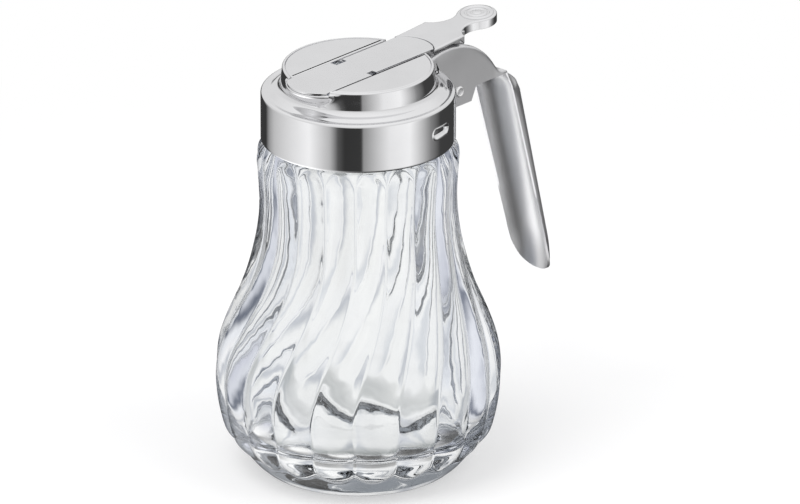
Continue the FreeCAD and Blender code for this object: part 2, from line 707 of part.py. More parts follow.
def grip_form(name, shrink):
    """The gutter's form down the grip's axis, drawn smaller by an amount, closed by its rounded shoulder."""
    tilt = size("grip_tilt")
    lean_radians = math.radians(tilt)
    lean = Rotation(Vector(0, 1, 0), -tilt)
    top = Vector(size("grip_top_along"), 0, size("shoulder_level"))
    down = Vector(math.sin(lean_radians), 0, -math.cos(lean_radians))
    outwards = Vector(math.cos(lean_radians), 0, math.sin(lean_radians))
    run_out = size("grip_run_out")

    cylinder = doc.addObject("Part::Cylinder", f"{name}_round")
    cylinder.setExpression("Radius", bound(f"grip_radius - {shrink}"))
    cylinder.setExpression("Height", bound("grip_length + 2 * grip_run_out"))
    cylinder.Placement = Placement(top + down * (size("grip_length") + run_out), lean)

    # The shoulder's side view: level on top, then rounded down into the grip's outer line, which
    # stands a hair outside the round form so that the two never share a face.
    hair = 0.02
    rounding = size(f"shoulder_radius - {shrink}")
    level = size(f"shoulder_level - {shrink}")
    outer = size(f"grip_radius - {shrink}") + hair
    drop = (level - top.z - outer * outwards.z) / down.z
    corner = top + outwards * outer + down * drop
    tangent = rounding * math.tan((math.pi / 2 - lean_radians) / 2)
    arc_start = corner - Vector(tangent, 0, 0)
    arc_end = corner + down * tangent
    centre = arc_start - Vector(0, 0, rounding)
    middle = centre + ((arc_start + arc_end) / 2 - centre).normalize() * rounding
    far_end = corner + down * (size("grip_length") + 2 * run_out)
    wide = Vector(0, size("grip_radius + margin"), 0)
    near_end = far_end - outwards * size("grip_form_depth")
    near_top = Vector(corner.x - size("grip_form_depth"), 0, level)
    outline = Part.Wire([
        Part.makeLine(near_top - wide, arc_start - wide),
        Part.Arc(arc_start - wide, middle - wide, arc_end - wide).toShape(),
        Part.makeLine(arc_end - wide, far_end - wide),
        Part.makeLine(far_end - wide, near_end - wide),
        Part.makeLine(near_end - wide, near_top - wide),
    ])
    side = doc.addObject("Part::Feature", f"{name}_side")
    side.Shape = Part.Face(outline).extrude(wide * 2)
    return shared(name, cylinder, side)


def make_grip():
    outside = grip_form("grip_outside", "0")
    inside = grip_form("grip_inside", "sheet")
    shell = cut("grip_shell", outside, inside)
    wide = "grip_radius + margin"
    tongue = free_sketch("grip_tongue_outline", FLAT, [
        ("-grip_run_out", f"-({wide})"),
        ("grip_length - grip_tongue", f"-({wide})"),
        ("grip_length - grip_tongue", "-grip_tongue_half_width"),
        ("grip_length", "0", Bend("grip_tongue_radius", 1)),
        ("grip_length - grip_tongue", "grip_tongue_half_width", Bend("grip_tongue_radius", 1)),
        ("grip_length - grip_tongue", wide),
        ("-grip_run_out", wide),
    ])
    # The sketch's x runs down the grip and its normal points outwards.
    lean = Rotation(Vector(0, 1, 0), -size("grip_tilt"))
    lay = Rotation(Vector(0, 1, 0), 90)
    top = Vector(size("grip_top_along"), 0, size("shoulder_level"))
    tongue.Placement = Placement(top, lean.multiply(lay))
    outwards = lean.multVec(Vector(1, 0, 0))
    trim = extruded("grip_trim", tongue, outwards, "grip_lip", "grip_radius + margin")
    return shared("grip", shell, trim)


def make_handle(cap_outside):
    whole = joined("handle_untrimmed", make_bracket(), make_grip())
    return cut("handle", whole, cap_outside)


# ---------------------------------------------------------------------------------------------
# Build, check and write
# ---------------------------------------------------------------------------------------------

cap_outside = make_cap_outside()
NODES = {
    "glass_jar": make_jar(),
    "cap": make_cap(cap_outside),
    "pour_gate": make_gate(),
    "thumb_lever": make_lever(),
    "rivet": make_rivet(),
    "handle": make_handle(cap_outside),
}
doc.recompute()

for thing in doc.Objects:
    if "Invalid" in thing.State or "Error" in thing.State:
        raise RuntimeError(f"{thing.Name} failed: {thing.State}")

os.makedirs("parts", exist_ok=True)
for name, piece in NODES.items():
    piece.Label = name
    shape = piece.Shape
    if shape.isNull() or not shape.isValid():
        raise RuntimeError(f"{name} has no valid shape")
    box = shape.optimalBoundingBox(False, False)
    print(f"{name}: {len(shape.Solids)} solid, {shape.Volume:.0f} mm3,"
          f" x {box.XMin:.1f} to {box.XMax:.1f}, y {box.YMin:.1f} to {box.YMax:.1f},"
          f" z {box.ZMin:.1f} to {box.ZMax:.1f}")
    shape.exportStep(os.path.join("parts", f"{name}.step"))
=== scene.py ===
import math

import bmesh
import bpy
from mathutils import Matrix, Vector


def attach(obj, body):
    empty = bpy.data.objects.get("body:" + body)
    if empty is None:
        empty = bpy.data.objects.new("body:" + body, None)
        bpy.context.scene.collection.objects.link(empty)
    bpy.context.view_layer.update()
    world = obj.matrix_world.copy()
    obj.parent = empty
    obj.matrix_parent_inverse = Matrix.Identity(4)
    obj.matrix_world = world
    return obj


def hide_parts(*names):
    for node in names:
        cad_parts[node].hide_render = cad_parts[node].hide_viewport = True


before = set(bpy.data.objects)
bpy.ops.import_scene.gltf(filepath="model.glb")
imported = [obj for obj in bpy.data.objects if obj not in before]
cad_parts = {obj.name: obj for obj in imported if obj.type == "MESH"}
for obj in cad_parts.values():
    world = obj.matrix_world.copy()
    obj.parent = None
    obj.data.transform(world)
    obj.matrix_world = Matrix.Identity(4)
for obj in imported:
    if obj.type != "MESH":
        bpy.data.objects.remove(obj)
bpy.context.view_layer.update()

MM = 0.001

# ---------------------------------------------------------------------------------------------
# Camera
# ---------------------------------------------------------------------------------------------

VIEW_PLAN_ANGLE = -137.5        # where the camera stands round the jar's axis, degrees from +X
VIEW_ELEVATION = 22.5
VIEW_WIDTH = 238.1 * MM         # what the frame shows across, at the jar
LENS = 800.0
AIM_LEVEL = 67.0 * MM           # the frame's middle: this high on the axis
AIM_RIGHT = 12.4 * MM           # and this far to the right of it


def plan_direction(degrees):
    """A level unit vector at an angle from +X."""
    return Vector((math.cos(math.radians(degrees)), math.sin(math.radians(degrees)), 0))


def make_camera():
    data = bpy.data.cameras.new("camera")
    data.lens = LENS
    camera = bpy.data.objects.new("camera", data)
    bpy.context.collection.objects.link(camera)
    elevation = math.radians(VIEW_ELEVATION)
    back = plan_direction(VIEW_PLAN_ANGLE) * math.cos(elevation) + Vector((0, 0, math.sin(elevation)))
    aim = Vector((0, 0, AIM_LEVEL)) + plan_direction(VIEW_PLAN_ANGLE + 90) * AIM_RIGHT
    distance = VIEW_WIDTH * data.lens / data.sensor_width
    camera.location = aim + back * distance
    camera.rotation_euler = back.to_track_quat("Z", "Y").to_euler()
    data.clip_start = distance / 20
    data.clip_end = distance * 20
    bpy.context.scene.camera = camera


make_camera()

# ---------------------------------------------------------------------------------------------
# Node helpers
# ---------------------------------------------------------------------------------------------


class Nodes:
    """A node tree with short calls: add a node, set its inputs, link others into it."""

    def __init__(self, owner):
        owner.use_nodes = True
        self.tree = owner.node_tree
        self.tree.nodes.clear()

    def add(self, kind, inputs=(), **settings):
        node = self.tree.nodes.new(kind)
        for name, value in settings.items():
            setattr(node, name, value)
        for key, value in dict(inputs).items():
            if isinstance(value, bpy.types.NodeSocket):
                self.tree.links.new(value, node.inputs[key])
            else:
                node.inputs[key].default_value = value
        return node

    def math(self, operation, *values):
        node = self.add("ShaderNodeMath", dict(enumerate(values)), operation=operation)
        return node.outputs[0]

    def ramp(self, factor, stops, interpolation="LINEAR"):
        """A colour ramp of (place, colour or grey level)."""
        node = self.add("ShaderNodeValToRGB", {0: factor})
        ramp = node.color_ramp
        ramp.interpolation = interpolation
        while len(ramp.elements) < len(stops):
            ramp.elements.new(1.0)
        for element, (place, colour) in zip(ramp.elements, stops):
            element.position = place
            grey = (colour, colour, colour)
            element.color = (*(grey if isinstance(colour, (int, float)) else colour), 1)
        return node.outputs[0]

    def smooth(self, value, low, high):
        """0 below low, 1 above high, eased between."""
        node = self.add("ShaderNodeMapRange", {0: value, 1: low, 2: high, 3: 0.0, 4: 1.0},
                        interpolation_type="SMOOTHSTEP")
        return node.outputs[0]

    def mix(self, factor, first, second):
        node = self.add("ShaderNodeMix", {0: factor, 6: first, 7: second}, data_type="RGBA")
        return node.outputs[2]


# ---------------------------------------------------------------------------------------------
# Studio: white surround, soft boxes as directions of the world, a soft lamp and a pale floor
# ---------------------------------------------------------------------------------------------

# What polished metal meets a little below the horizon, as stripes of light and dark:
# (plan angle from the camera's side, brightness).
FLOOR_LEVEL_BOXES = [
    (-180, 0.05), (-140, 0.045), (-130, 0.40), (-118, 0.66), (-92, 0.88), (-60, 1.18), (-34, 0.62),
    (-24, 0.12), (-16, 0.045), (4, 0.05), (6.5, 0.36), (14, 0.52), (38, 1.05), (64, 1.18), (95, 0.30),
    (114, 0.06), (180, 0.05),
]
# What it meets steeply below the horizon.
STEEP_BOXES = [
    (-180, 0.14), (-150, 0.45), (-122, 1.3), (-98, 1.75), (-66, 1.75), (-42, 1.1), (-14, 0.34),
    (10, 0.10), (40, 0.03), (82, 0.03), (112, 0.10), (150, 0.14), (180, 0.14),
]
# What clear glass meets beyond itself: (plan angle from straight behind the jar, colour).
BEHIND_GLASS = [
    (-180, (0.9, 0.9, 0.9)), (-140, (0.14, 0.17, 0.22)), (-118, (0.34, 0.37, 0.44)),
    (-98, (0.54, 0.57, 0.66)), (-78, (0.10, 0.12, 0.16)), (-66, (0.62, 0.64, 0.72)),
    (-55, (0.80, 0.82, 0.89)), (-44, (0.16, 0.18, 0.24)), (-37, (0.80, 0.82, 0.88)),
    (-26, (0.97, 0.97, 0.98)), (-17, (0.74, 0.76, 0.80)), (-11, (0.96, 0.96, 0.97)),
    (12, (0.97, 0.97, 0.97)), (19, (0.58, 0.60, 0.65)), (25, (0.95, 0.95, 0.97)),
    (36, (0.86, 0.88, 0.93)), (46, (0.11, 0.13, 0.18)), (56, (0.68, 0.70, 0.77)),
    (68, (0.58, 0.60, 0.69)), (80, (0.06, 0.08, 0.12)), (98, (0.42, 0.45, 0.54)),
    (118, (0.28, 0.31, 0.40)), (140, (0.10, 0.12, 0.17)), (180, (0.9, 0.9, 0.9)),
]
# Levels of what is above: (sine of the height, brightness).
SKY = [(0.0, 0.86), (0.42, 0.89), (0.62, 1.0), (1.0, 1.1)]
ABOVE_GLASS = (0.27, 0.29, 0.32, 1)     # what glass meets overhead
UNDER_GLASS = (0.30, 0.32, 0.32, 1)     # and below the table
ROUND_MATT = (0.62, 0.62, 0.63, 1)      # what lights matt surfaces
WHITE = (1, 1, 1, 1)


def ring_stops(boxes):
    return [(0.5 + angle / 360, level) for angle, level in boxes]


def make_world():
    world = bpy.data.worlds.new("studio")
    bpy.context.scene.world = world
    n = Nodes(world)
    direction = n.add("ShaderNodeTexCoord").outputs["Generated"]
    split = n.add("ShaderNodeSeparateXYZ", {0: direction})
    plan = n.math("ARCTAN2", split.outputs["Y"], split.outputs["X"])
    height = split.outputs["Z"]

    def turned(zero_angle):
        """The plan angle as 0 to 1 round the jar, 0.5 at zero_angle."""
        share = n.math("DIVIDE", plan, 2 * math.pi)
        return n.math("FRACT", n.math("ADD", share, 1.5 - zero_angle / 360))

    boxes = n.ramp(turned(VIEW_PLAN_ANGLE), ring_stops(FLOOR_LEVEL_BOXES))
    steep = n.ramp(turned(VIEW_PLAN_ANGLE), ring_stops(STEEP_BOXES))
    depth = n.math("MULTIPLY", height, -1.0)
    sky = n.ramp(height, SKY)
    for_metal = n.mix(n.smooth(depth, 0.44, 0.62), boxes, steep)
    for_metal = n.mix(n.smooth(height, -0.04, 0.10), for_metal, sky)

    ring = n.ramp(turned(VIEW_PLAN_ANGLE + 180), ring_stops(BEHIND_GLASS), "EASE")
    path = n.add("ShaderNodeLightPath").outputs
    from_metal = n.math("MINIMUM", path["Glossy Depth"], 1.0)
    under_glass = n.mix(from_metal, UNDER_GLASS, n.math("MINIMUM", steep, 1.0))
    for_glass = n.mix(n.smooth(height, 0.08, 0.42), ring, ABOVE_GLASS)
    for_glass = n.mix(n.smooth(depth, 0.52, 0.90), for_glass, under_glass)

    colour = n.mix(path["Is Glossy Ray"], ROUND_MATT, for_metal)
    has_passed_glass = n.math("MINIMUM", path["Transmission Depth"], 1.0)
    through = n.math("MAXIMUM", path["Is Transmission Ray"], has_passed_glass)
    colour = n.mix(through, colour, for_glass)
    colour = n.mix(path["Is Camera Ray"], colour, WHITE)
    background = n.add("ShaderNodeBackground", {"Color": colour, "Strength": 1.0})
    n.add("ShaderNodeOutputWorld", {"Surface": background.outputs[0]})


FLOOR_RADIUS = 1.6
FLOOR_CORNERS = 64
SHADOW_ENDS = (0.10, 0.32)      # the floor turns white between these distances from the axis
WHITE_NEAR_JAR = 0.50           # share of plain white where the shadow lies


def make_floor():
    mesh = bpy.data.meshes.new("floor")
    corners = [plan_direction(360 * k / FLOOR_CORNERS) * FLOOR_RADIUS for k in range(FLOOR_CORNERS)]
    mesh.from_pydata([tuple(c) for c in corners], [], [list(range(FLOOR_CORNERS))])
    floor = bpy.data.objects.new("floor", mesh)
    bpy.context.collection.objects.link(floor)
    floor.visible_glossy = False
    floor.visible_transmission = False
    material = bpy.data.materials.new("floor")
    n = Nodes(material)
    place = n.add("ShaderNodeTexCoord").outputs["Object"]
    reach = n.add("ShaderNodeVectorMath", {0: place}, operation="LENGTH").outputs["Value"]
    away = n.smooth(reach, *SHADOW_ENDS)
    white_share = n.add("ShaderNodeMapRange", {0: away, 3: WHITE_NEAR_JAR, 4: 1.0}).outputs[0]
    from_camera = n.add("ShaderNodeLightPath").outputs["Is Camera Ray"]
    matt = n.add("ShaderNodeBsdfDiffuse", {"Color": (0.92, 0.92, 0.92, 1)})
    white = n.add("ShaderNodeEmission", {"Color": WHITE, "Strength": 1.0})
    share = n.math("MULTIPLY", white_share, from_camera)
    surface = n.add("ShaderNodeMixShader", {0: share, 1: matt.outputs[0], 2: white.outputs[0]})
    n.add("ShaderNodeOutputMaterial", {"Surface": surface.outputs[0]})
    mesh.materials.append(material)


def disk_light(name, across, power):
    data = bpy.data.lights.new(name, "AREA")
    data.shape = "DISK"
    data.size = across
    data.energy = power
    light = bpy.data.objects.new(name, data)
    bpy.context.collection.objects.link(light)
    light.visible_transmission = False
    return light


def make_lamp(name, plan_angle, elevation, distance, across, power):
    """A soft lamp aimed at the origin, which metal and glass don't show."""
    lamp = disk_light(name, across, power)
    up = math.radians(elevation)
    back = plan_direction(plan_angle) * math.cos(up) + Vector((0, 0, math.sin(up)))
    lamp.location = back * distance
    lamp.rotation_euler = back.to_track_quat("Z", "Y").to_euler()
    lamp.visible_glossy = False


def make_card(name, place, towards, across, power):
    """A lamp aimed at a point, which metal shows as a bright card."""
    card = disk_light(name, across, power)
    card.location = place
    card.rotation_euler = (Vector(place) - Vector(towards)).to_track_quat("Z", "Y").to_euler()
    card.visible_camera = False
    return card


make_world()
make_floor()
make_lamp("key_lamp", VIEW_PLAN_ANGLE - 50, 60, 1.2, 0.9, 9.0)
make_lamp("fill_lamp", VIEW_PLAN_ANGLE + 70, 50, 1.4, 1.0, 6.0)
# A small card beside the grip. make_handle links it to the handle, so it lights nothing else.
grip_card = make_card("grip_card", (0.112, -0.031, 0.062), (0.064, -0.008, 0.08), 0.05, 0.0025)

bpy.context.scene.view_settings.view_transform = "Standard"
# Light that turns about inside thick glass needs many bounces.
bpy.context.scene.cycles.max_bounces = 28
bpy.context.scene.cycles.glossy_bounces = 16
bpy.context.scene.cycles.transmission_bounces = 24

# ---------------------------------------------------------------------------------------------
# Materials
# ---------------------------------------------------------------------------------------------


def make_steel(name, colour, roughness, wear, grain_scale, grain_depth):
    """Stainless steel: fine grain drawn in one direction, cloudy gloss and faint marks."""
    material = bpy.data.materials.new(name)
    n = Nodes(material)
    place = n.add("ShaderNodeTexCoord").outputs["Object"]
    stretched = n.add("ShaderNodeMapping", {0: place, "Scale": grain_scale}).outputs[0]
    grain = n.add("ShaderNodeTexNoise", {"Vector": stretched, "Scale": 1.0, "Detail": 4.0}).outputs["Fac"]
    cloud = n.add("ShaderNodeTexNoise", {"Vector": place, "Scale": 90.0, "Detail": 3.0}).outputs["Fac"]
    gloss = n.math("MULTIPLY_ADD", n.math("SUBTRACT", cloud, 0.5), wear, roughness)
    gloss = n.math("MULTIPLY_ADD", n.math("SUBTRACT", grain, 0.5), wear, gloss)
    shade = n.add("ShaderNodeMapRange", {0: cloud, 1: 0.3, 2: 0.7, 3: 0.97, 4: 1.02}).outputs[0]
    tone = n.add("ShaderNodeVectorMath", {0: colour, "Scale": shade}, operation="SCALE").outputs[0]
    bump = n.add("ShaderNodeBump", {"Strength": 0.25, "Distance": grain_depth, "Height": grain}).outputs[0]
    metal = n.add("ShaderNodeBsdfPrincipled",
                  {"Base Color": tone, "Metallic": 1.0, "Roughness": gloss, "Normal": bump})
    n.add("ShaderNodeOutputMaterial", {"Surface": metal.outputs[0]})
    return material


def make_glass():
    """Clear pressed glass, very slightly wavy."""
    material = bpy.data.materials.new("clear_glass")
    n = Nodes(material)
    place = n.add("ShaderNodeTexCoord").outputs["Object"]
    waves = n.add("ShaderNodeTexNoise", {"Vector": place, "Scale": 85.0, "Detail": 2.0}).outputs["Fac"]
    bump = n.add("ShaderNodeBump", {"Strength": 0.8, "Distance": 0.25 * MM, "Height": waves}).outputs[0]
    glass = n.add("ShaderNodeBsdfPrincipled",
                  {"Base Color": (0.985, 0.992, 0.99, 1), "Roughness": 0.0, "IOR": 1.51,
                   "Transmission Weight": 1.0, "Normal": bump})
    n.add("ShaderNodeOutputMaterial", {"Surface": glass.outputs[0]})
    return material


polished = make_steel("polished_steel", (0.74, 0.74, 0.75), 0.07, 0.04, (60.0, 60.0, 900.0), 0.004 * MM)
satin = make_steel("satin_steel", (0.72, 0.72, 0.73), 0.36, 0.06, (1500.0, 1500.0, 60.0), 0.01 * MM)
brushed = make_steel("brushed_steel", (0.73, 0.73, 0.74), 0.13, 0.05, (60.0, 900.0, 900.0), 0.004 * MM)
# The rivet's steel is much paler than the rest: its base colour carries a painted highlight for the bright
# rim of the rivet's head.
bright = make_steel("steel_painted_highlight", (0.95, 0.95, 0.95), 0.45, 0.05, (900.0, 900.0, 900.0), 0.004 * MM)
clear_glass = make_glass()

# ---------------------------------------------------------------------------------------------
# Mesh helpers
# ---------------------------------------------------------------------------------------------


def add_piece(name, points, faces, material, slot, body, *nodes, crease=35.0):
    """A mesh, given in millimetres, that rides on a body and stands for CAD nodes."""
    mesh = bpy.data.meshes.new(name)
    mesh.from_pydata([Vector(point) * MM for point in points], [], faces)
    mesh.validate()
    shape = bmesh.new()
    shape.from_mesh(mesh)
    bmesh.ops.recalc_face_normals(shape, faces=shape.faces)
    shape.to_mesh(mesh)
    shape.free()
    mesh.polygons.foreach_set("use_smooth", [True] * len(mesh.polygons))
    mesh.set_sharp_from_angle(angle=math.radians(crease))
    mesh.materials.append(material)
    piece = bpy.data.objects.new(name, mesh)
    bpy.context.collection.objects.link(piece)
    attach(piece, body)
    if nodes:
        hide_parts(*nodes)
    return piece


def together(*solids):
    """Several (points, faces) as one."""
    points = []
    faces = []
    for some_points, some_faces in solids:
        start = len(points)
        points.extend(some_points)
        faces.extend(tuple(start + k for k in face) for face in some_faces)
    return points, faces


def wrapped_grid(rings, closed=False):
    """A surface from rings of equal count; single points close its ends, or the last ring joins the first."""
    points = []
    starts = []
    for ring in rings:
        starts.append(len(points))
        points.extend(ring)
    faces = []
    pairs = [(k, k + 1) for k in range(len(rings) - 1)]
    if closed:
        pairs.append((len(rings) - 1, 0))
    for lower, upper in pairs:
        a, b = starts[lower], starts[upper]
        count = max(len(rings[lower]), len(rings[upper]))
        for k in range(count):
            after = (k + 1) % count
            if len(rings[lower]) == 1:
                faces.append((a, b + after, b + k))
            elif len(rings[upper]) == 1:
                faces.append((a + k, a + after, b))
            else:
                faces.append((a + k, a + after, b + after, b + k))
    return points, faces


def closed_sheet(outer, inner, is_open):
    """A curved sheet from two grids of points, one for each face, closed along every free edge."""
    columns = len(outer[0])
    points = [point for grid in (outer, inner) for row in grid for point in row]
    other = len(outer) * columns
    faces = []
    edges = set()
    for i in range(len(outer) - 1):
        for j in range(columns - 1):
            if is_open(i, j):
                continue
            first = i * columns + j
            face = (first, first + 1, first + columns + 1, first + columns)
            faces.append(face)
            faces.append(tuple(other + k for k in reversed(face)))
            edges.update(zip(face, face[1:] + face[:1]))
    for a, b in sorted(edges):
        if (b, a) not in edges:
            faces.append((b, a, other + a, other + b))
    return points, faces


def arc_points(centre_x, centre_y, radius, start, end, steps):
    """Points on an arc between two angles, both ends included."""
    angles = [math.radians(start + (end - start) * k / steps) for k in range(steps + 1)]
    return [(centre_x + radius * math.cos(a), centre_y + radius * math.sin(a)) for a in angles]


def drawn_in(outline, distance, kept=0):
    """An anticlockwise outline, moved inwards; its first points may be kept nearly in place."""
    moved = []
    count = len(outline)
    for k, (x, y) in enumerate(outline):
        before = Vector((x, y)) - Vector(outline[k - 1])
        after = Vector(outline[(k + 1) % count]) - Vector((x, y))
        before.normalize()
        after.normalize()
        inwards = Vector((-before.y - after.y, before.x + after.x))
        inwards *= distance * (0.2 if k < kept else 1) / max(1 + before.dot(after), 0.35)
        moved.append((x + inwards.x, y + inwards.y))
    return moved


def stacked(outline, steps, top_at, kept=0):
    """A plate built of level outlines: each step is (how far inwards, how deep below the top)."""
    rings = []
    for inset, depth in steps:
        depth_at = depth if callable(depth) else lambda x, depth=depth: depth
        rings.append([(x, y, top_at(px) - depth_at(px))
                      for (x, y), (px, _) in zip(drawn_in(outline, inset, kept), outline)])
    points, faces = wrapped_grid(rings)
    faces.append(tuple(range(len(outline))))
    faces.append(tuple(range(len(points) - len(outline), len(points))))
    return points, faces


def soft_edge(radius, edge=0.0):
    """Steps of a rounded upper edge."""
    turns = [math.radians(angle) for angle in (0, 22.5, 45, 67.5, 90)]
    steps = [(edge + radius + 0.15, 0.0)]
    steps.extend((edge + radius * (1 - math.sin(a)), radius * (1 - math.cos(a))) for a in turns)
    return steps


def turned_profile(profile, steps, place):
    """A closed profile of (radius, height) turned about an axis; place(radius, angle, height) is a point."""
    rings = []
    for radius, height in profile:
        angles = [2 * math.pi * k / steps for k in range(steps)]
        rings.append([place(radius, angle, height) for angle in angles])
    return wrapped_grid(rings, closed=True)


def eased(share):
    share = min(max(share, 0.0), 1.0)
    return share * share * (3 - 2 * share)


def curve_through(stations):
    """A smooth function through (place, value) stations, which keeps rising or falling between them."""
    places = [place for place, _ in stations]
    values = [value for _, value in stations]
    slopes = []
    for k in range(len(stations)):
        before = max(k - 1, 0)
        after = min(k + 1, len(stations) - 1)
        slopes.append((values[after] - values[before]) / (places[after] - places[before]))

    def at(place):
        if place <= places[0]:
            return values[0]
        if place >= places[-1]:
            return values[-1]
        k = next(i for i in range(len(places) - 1) if place <= places[i + 1])
        span = places[k + 1] - places[k]
        t = (place - places[k]) / span
        return ((2 * t ** 3 - 3 * t ** 2 + 1) * values[k] + (t ** 3 - 2 * t ** 2 + t) * span * slopes[k]
                + (3 * t ** 2 - 2 * t ** 3) * values[k + 1] + (t ** 3 - t ** 2) * span * slopes[k + 1])

    return at


# ---------------------------------------------------------------------------------------------
# Glass jar
# ---------------------------------------------------------------------------------------------

LOBES = 20
LOBE_PHASE = 5.0                # angle of one valley
LOBE_TWIST = -18.0              # turn of the lobes from neck to foot
TWIST_TOP = 76.0
TWIST_BOTTOM = 27.0
STEPS_PER_LOBE = 20
# Radius between the lobes, in millimetres, from the foot's ring to the neck.
CORE = curve_through([
    (0.9, 29.6), (3.0, 31.9), (7.0, 35.0), (12.0, 38.2), (18.0, 40.0), (24.0, 41.0), (31.0, 41.35),
    (38.0, 40.5), (45.0, 38.4), (52.0, 35.7), (59.0, 33.0), (66.0, 31.0), (74.0, 29.4), (84.0, 28.6),
    (94.0, 29.0), (100.0, 29.3), (103.0, 28.0), (104.0, 26.7),
])
# How far a lobe stands proud of that.
LOBE_RISE = curve_through([
    (6.5, 1.5), (18.0, 1.45), (40.0, 1.4), (66.0, 1.15), (84.0, 1.0), (100.0, 1.0),
])
TOE_TOP = 13.0                  # the lobes' rounded lower ends start here
TOE_END = 6.9
HEAD_BOTTOM = 97.0              # and their upper ends here
HEAD_END = 103.4
VALLEY_ROUNDING = 0.10
# Cavity, from the bottom's edge to the mouth.
CAVITY = curve_through([
    (9.4, 20.0), (10.3, 25.0), (12.5, 30.5), (16.5, 35.2), (22.0, 37.6), (28.0, 38.4), (34.0, 38.2),
    (40.0, 37.0), (46.0, 35.0), (52.0, 32.7), (59.0, 30.1), (66.0, 28.1), (74.0, 26.5), (84.0, 25.7),
    (94.0, 25.9), (100.0, 25.4), (106.0, 23.4), (112.0, 23.2),
])


def swirl(level):
    """How far the lobes have turned at a level, in degrees."""
    return LOBE_TWIST * eased((TWIST_TOP - level) / (TWIST_TOP - TWIST_BOTTOM))


def wall_radius(level, across):
    """Outer radius at a level; across is -1 to 1 over one lobe, valley to valley."""
    toe = max((TOE_TOP - level) / (TOE_TOP - TOE_END), 0.0)
    head = max((level - HEAD_BOTTOM) / (HEAD_END - HEAD_BOTTOM), 0.0)
    fullness = 1 - across ** 2 - toe ** 2 - head ** 2
    soft = (fullness + math.hypot(fullness, VALLEY_ROUNDING)) / 2
    return CORE(level) + LOBE_RISE(level) * soft


def glass_ring(level, radius_at):
    """One level ring of the jar; radius_at takes the place across a lobe."""
    count = LOBES * STEPS_PER_LOBE
    ring = []
    for k in range(count):
        angle = math.radians(LOBE_PHASE + swirl(level) + 360 * k / count)
        across = 2 * (k % STEPS_PER_LOBE) / STEPS_PER_LOBE - 1
        radius = radius_at(across)
        ring.append((radius * math.cos(angle), radius * math.sin(angle), level))
    return ring


# Underside: a shallow hollow inside the ring that the jar stands on, as (radius, level).
UNDERSIDE_LEVEL = 1.3
UNDERSIDE = [
    (8, 1.28), (14, 1.2), (19, 1.0), (22, 0.65), (24, 0.2), (24.8, 0.03), (25.5, 0.0),
    (27.0, 0.0), (28.2, 0.12), (29.0, 0.45),
]
LOBES_BOTTOM = 0.9
LOBES_TOP = 104.0
# Finish inside the cap: neck, bead and rim, as (level, radius).
FINISH = [
    (104.4, 26.6), (109.0, 26.6), (114.6, 26.6), (115.4, 27.4), (116.2, 27.6), (117.2, 27.4),
    (117.8, 26.6), (118.0, 25.6), (117.9, 24.4), (117.3, 23.5), (116.3, 23.2),
]
CAVITY_TOP = 114.0
CAVITY_CORNER = (12.5, 11.6, 10.9, 10.3, 9.9, 9.6)      # closer levels round the bottom's edge
CAVITY_FLOOR = 9.25
CAVITY_FLOOR_RADII = (18.0, 14.0, 8.0)
CAVITY_FLOOR_MIDDLE = 9.2


def make_jar():
    def round_ring(level, radius):
        return glass_ring(level, lambda across: radius)

    rings = [[(0, 0, UNDERSIDE_LEVEL)]]
    for radius, level in UNDERSIDE:
        rings.append(round_ring(level, radius))
    level = LOBES_BOTTOM
    while level < LOBES_TOP:
        rings.append(glass_ring(level, lambda across: wall_radius(level, across)))
        level += 0.45 if level < 15 or level > 95 else 0.85
    for level, radius in FINISH:
        rings.append(round_ring(level, radius))
    level = CAVITY_TOP
    while level > 13.0:
        rings.append(round_ring(level, CAVITY(level)))
        level -= 1.5
    for level in CAVITY_CORNER:
        rings.append(round_ring(level, CAVITY(level)))
    for radius in CAVITY_FLOOR_RADII:
        rings.append(round_ring(CAVITY_FLOOR, radius))
    rings.append([(0, 0, CAVITY_FLOOR_MIDDLE)])
    points, faces = wrapped_grid(rings)
    add_piece("jar_glass", points, faces, clear_glass, "clear_glass", "root", "glass_jar", crease=180.0)


# ---------------------------------------------------------------------------------------------
# Cap
# ---------------------------------------------------------------------------------------------

SHEET = 0.8
DISC_LEVEL = 126.9
CHANNEL_LEVEL = 126.0
CHANNEL_HALF = 8.1
DISC_EDGE = 21.9                # radius where the disc's rounded edge begins
BAND_RADIUS = 29.0
SPOUT_CENTRE = 16.2             # from the axis, towards -X
SPOUT_RADIUS = 10.4
SPOUT_DEPTH = 4.8
LUG_ANGLES = (-79.0, 101.0)
LUG_LEVEL = 111.9
LUG_STRAIGHT = 2.6
LUG_HALF_HEIGHT = 1.45
LUG_DEPTH = 0.95
LUG_RIM = 0.16                  # height and half width of the raised rim round a lug
LUG_RIM_PLACE = 1.16            # that rim's crest, in shares of the lug's half height
HOLE_BACK = -16.6               # rear edge of the pour hole
CORNER_RADIUS = 22.4            # where the channel's sides meet the disc's edge
PEDESTAL_RADIUS = 23.2
PEDESTAL_TAPER = 0.6
WALL_BOTTOM = 121.4             # lower end of the pedestal's wall
WALL_STEPS = 12
DISC_ROUNDING = 0.5
SPOUT_LIP = 0.9                 # height over which the spout closes above the channel
SPOUT_BLEND = 1.3               # softness of the line between spout and wall
RIM_LEVEL = 118.3               # where the rounding between band and ledge starts
RIM_ROUNDING = 0.9
# Ledge: a shallow gutter inside the rim, a rise, and the fillet at the pedestal's foot.
LEDGE = [
    (27.7, 119.17), (27.35, 119.05), (27.0, 119.0), (26.6, 119.08), (26.2, 119.3), (25.7, 119.62),
    (25.2, 119.86), (24.8, 119.98), (24.4, 120.12), (24.0, 120.36), (23.65, 120.72), (23.4, 121.1),
]


def turn_between(angle, other):
    """The smaller turn between two angles, in degrees."""
    return abs((angle - other + 180) % 360 - 180)


